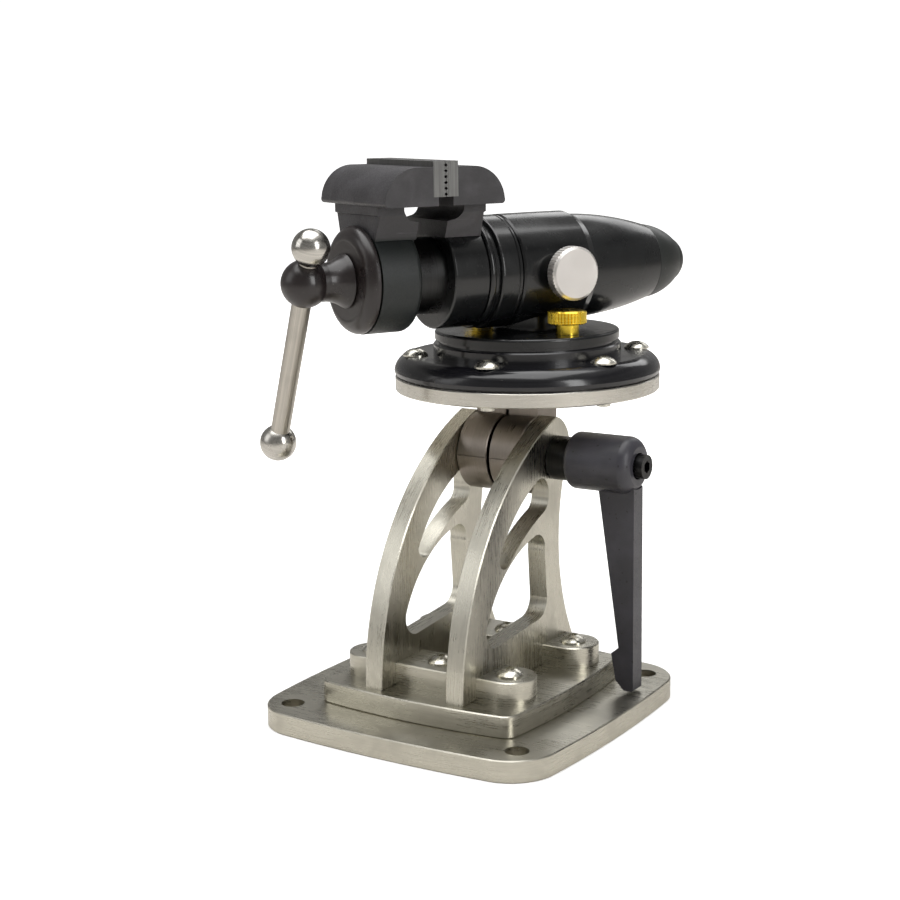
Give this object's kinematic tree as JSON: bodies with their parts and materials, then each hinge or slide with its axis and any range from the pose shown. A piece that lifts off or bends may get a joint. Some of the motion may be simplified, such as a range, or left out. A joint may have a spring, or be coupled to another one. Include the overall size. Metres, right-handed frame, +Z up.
{
  "type": "tilting bench vise",
  "caption": "Small bullet-shaped bench vise with a turning jaw head, on a swivelling flange and a tilting stand with a clamp lever.",
  "frame": {"origin": "middle of the base plate's underside", "axes": "+Z up, +X along the tilt pivot towards the clamp lever, -Y towards the cheeks' convex front edges"},
  "size_m": [0.1351, 0.1658, 0.2023],
  "materials": {
    "brushed_stainless": "brushed, directional grain",
    "screw_steel": "polished stainless",
    "black_enamel": "semi-gloss black",
    "hub_enamel": "satin dark grey",
    "dark_gloss": "glossy brown-black",
    "jaw_steel": "ground",
    "ram_steel": "ground and oiled",
    "ball_chrome": "polished",
    "rod_steel": "satin",
    "knob_aluminium": "satin, knurled rim",
    "thumb_brass": "polished, knurled",
    "nut_bronze": "machined",
    "lever_coat": "fine textured black powder coat",
    "black_oxide": "black oxide"
  },
  "bodies": {
    "stand": {"base_plate": "brushed_stainless", "upper_plate": "brushed_stainless", "base_screws": "screw_steel", "cheek_left": "brushed_stainless", "cheek_right": "brushed_stainless", "lug_front_left": "brushed_stainless", "lug_front_right": "brushed_stainless", "lug_rear_left": "brushed_stainless", "lug_rear_right": "brushed_stainless", "cross_block_front": "brushed_stainless", "cross_block_rear": "brushed_stainless", "clamp_screws": "screw_steel", "cheek_dowels": "screw_steel", "pivot_washer": "brushed_stainless", "pivot_bolt": "screw_steel"},
    "head": {"hinge_block_left": "brushed_stainless", "hinge_block_right": "brushed_stainless", "tilt_disc": "brushed_stainless", "disc_screws": "screw_steel", "turret_base": "black_enamel", "flange_screws": "screw_steel"},
    "vise": {"vise_body": "black_enamel", "end_cap": "black_enamel", "swivel_washer": "screw_steel", "swivel_screw": "screw_steel", "swivel_studs": "screw_steel", "lock_shoe": "dark_gloss"},
    "jaw_head": {"head_hub": "hub_enamel", "ram_key": "screw_steel", "fixed_jaw": "hub_enamel", "fixed_jaw_studs": "screw_steel", "jaw_plate_fixed": "jaw_steel", "jaw_plate_screws_fixed": "screw_steel", "feed_nut": "nut_bronze"},
    "ram": {"moving_jaw": "hub_enamel", "jaw_plate_moving": "jaw_steel", "jaw_plate_screws_moving": "screw_steel", "ram_tube": "ram_steel", "ram_collar": "dark_gloss", "collar_washer": "dark_gloss"},
    "screw": {"lead_screw": "dark_gloss", "thrust_ring": "dark_gloss"},
    "bar": {"handle_rod": "rod_steel", "handle_ball_upper": "ball_chrome", "handle_ball_lower": "ball_chrome"},
    "lever": {"lever_insert": "screw_steel", "lever_screw": "black_oxide"},
    "lever_grip": {"lever_handle": "lever_coat", "lever_spring": "black_oxide"},
    "lock": {"lock_knob": "knob_aluminium", "lock_screw": "dark_gloss"},
    "near_nut": {"thumb_nut_near": "thumb_brass"},
    "far_nut": {"thumb_nut_far": "thumb_brass"}
  },
  "joints": [
    {"name": "head_tilt", "type": "hinge", "parent": "stand", "child": "head", "pos_m": [0, 0.0263, 0.093], "axis": [1, 0, 0], "range_deg": [-90, 30]},
    {"name": "vise_swivel", "type": "hinge", "parent": "head", "child": "vise", "pos_m": [0, 0.0414, 0.135], "axis": [0, 0, 1], "continuous": true},
    {"name": "jaw_head_turn", "type": "hinge", "parent": "vise", "child": "jaw_head", "pos_m": [0, 0.0414, 0.1605], "axis": [0.4664, 0.8846, 0], "range_deg": [-90, 90]},
    {"name": "jaw_slide", "type": "slide", "parent": "jaw_head", "child": "ram", "axis": [-0.4664, -0.8846, 0], "range_m": [0, 0.045]},
    {"name": "screw_turn", "type": "hinge", "parent": "ram", "child": "screw", "pos_m": [0, 0.0414, 0.1605], "axis": [-0.4664, -0.8846, 0], "range_deg": [0, 5400]},
    {"name": "bar_slide", "type": "slide", "parent": "screw", "child": "bar", "axis": [0.3682, -0.1941, 0.9092], "range_m": [0, 0.0532]},
    {"name": "lever_turn", "type": "hinge", "parent": "stand", "child": "lever", "pos_m": [0.0208, 0.0263, 0.093], "axis": [1, 0, 0], "range_deg": [-100, 100]},
    {"name": "lever_lift", "type": "slide", "parent": "lever", "child": "lever_grip", "axis": [1, 0, 0], "range_m": [0, 0.0035], "stiffness_N_per_m": 1200, "springref_m": -0.003, "deforming": ["lever_spring"]},
    {"name": "lock_knob_turn", "type": "hinge", "parent": "vise", "child": "lock", "pos_m": [0.02468, 0.03246, 0.1605], "axis": [0.8846, -0.4664, 0], "range_deg": [0, 720]},
    {"name": "near_nut_turn", "type": "hinge", "parent": "vise", "child": "near_nut", "pos_m": [0.02298, 0.03155, 0.142], "axis": [0, 0, 1], "range_deg": [0, 720]},
    {"name": "far_nut_turn", "type": "hinge", "parent": "vise", "child": "far_nut", "pos_m": [-0.024, 0.0484, 0.142], "axis": [0, 0, 1], "range_deg": [0, 720]}
  ],
  "couplings": [
    {"joint": "screw_turn", "follows": "jaw_slide", "rad_per_m": 2094.4}
  ]
}
